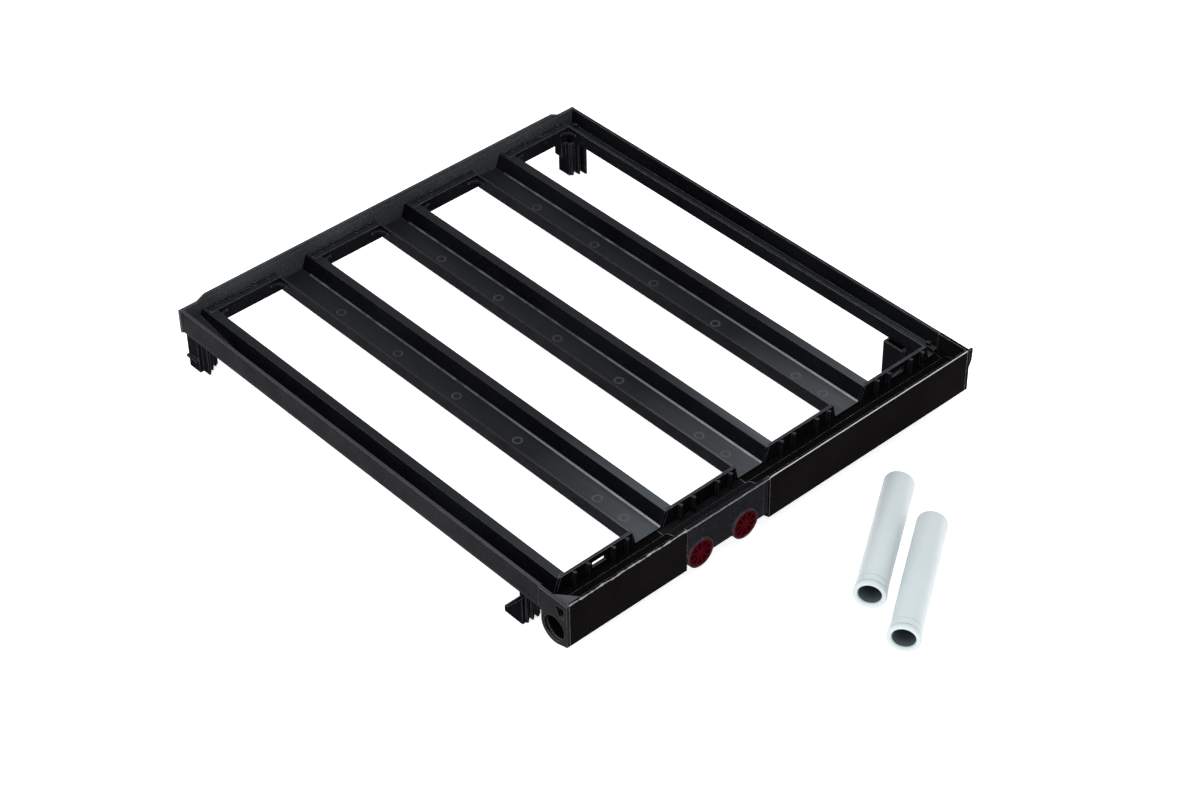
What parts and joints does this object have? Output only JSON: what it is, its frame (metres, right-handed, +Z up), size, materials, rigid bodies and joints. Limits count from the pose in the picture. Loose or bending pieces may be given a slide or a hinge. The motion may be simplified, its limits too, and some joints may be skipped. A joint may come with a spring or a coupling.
{
  "type": "slatted deck frame",
  "caption": "Open slatted deck frame in black plastic with drain channels, a front header tube, red port plugs, short legs and loose white coupling tubes.",
  "frame": {"origin": "on the ground, under the centre of the whole set's box, loose tubes included", "axes": "+Z up, +Y from the front fascia to the back wall, along the openings, +X to the right seen from the front"},
  "size_m": [0.615, 0.9087, 0.086],
  "materials": {
    "frame_plastic": "moulded black, satin with a fine grain",
    "plug_plastic": "moulded deep red, satin",
    "tube_plastic": "extruded cool white, satin",
    "seal_rubber": "matt"
  },
  "bodies": {
    "frame": {"left_side_rail": "frame_plastic", "right_side_rail": "frame_plastic", "left_kerb": "frame_plastic", "right_kerb": "frame_plastic", "left_channel_floor": "frame_plastic", "right_channel_floor": "frame_plastic", "channel_slat_1": "frame_plastic", "channel_slat_2": "frame_plastic", "channel_slat_3": "frame_plastic", "back_wall": "frame_plastic", "back_rim_strip": "frame_plastic", "front_kerb_1": "frame_plastic", "front_kerb_2": "frame_plastic", "front_kerb_3": "frame_plastic", "front_kerb_4": "frame_plastic", "back_kerb_1": "frame_plastic", "back_kerb_2": "frame_plastic", "back_kerb_3": "frame_plastic", "back_kerb_4": "frame_plastic", "header_left": "frame_plastic", "header_right": "frame_plastic", "end_plate_left": "frame_plastic", "end_plate_right": "frame_plastic", "port_block": "frame_plastic", "leg_front_left": "frame_plastic", "leg_front_right": "frame_plastic", "leg_back_left": "frame_plastic", "leg_back_right": "frame_plastic", "ledge_clip_front": "frame_plastic", "ledge_clip_back": "frame_plastic", "corner_gusset": "frame_plastic"},
    "plug_left": {"port_plug_left": "plug_plastic", "plug_seal_left": "seal_rubber"},
    "plug_right": {"port_plug_right": "plug_plastic", "plug_seal_right": "seal_rubber"},
    "tube_back": {"coupling_tube_back": "tube_plastic"},
    "tube_front": {"coupling_tube_front": "tube_plastic"}
  },
  "joints": [
    {"name": "plug_left_pull", "type": "slide", "parent": "frame", "child": "plug_left", "axis": [0, -1, 0], "range_m": [0, 0.035]},
    {"name": "plug_right_pull", "type": "slide", "parent": "frame", "child": "plug_right", "axis": [0, -1, 0], "range_m": [0, 0.035]},
    {"name": "tube_back_lift", "type": "slide", "parent": "frame", "child": "tube_back", "axis": [0, 0, 1], "range_m": [0, 0.12]},
    {"name": "tube_front_lift", "type": "slide", "parent": "frame", "child": "tube_front", "axis": [0, 0, 1], "range_m": [0, 0.12]}
  ]
}
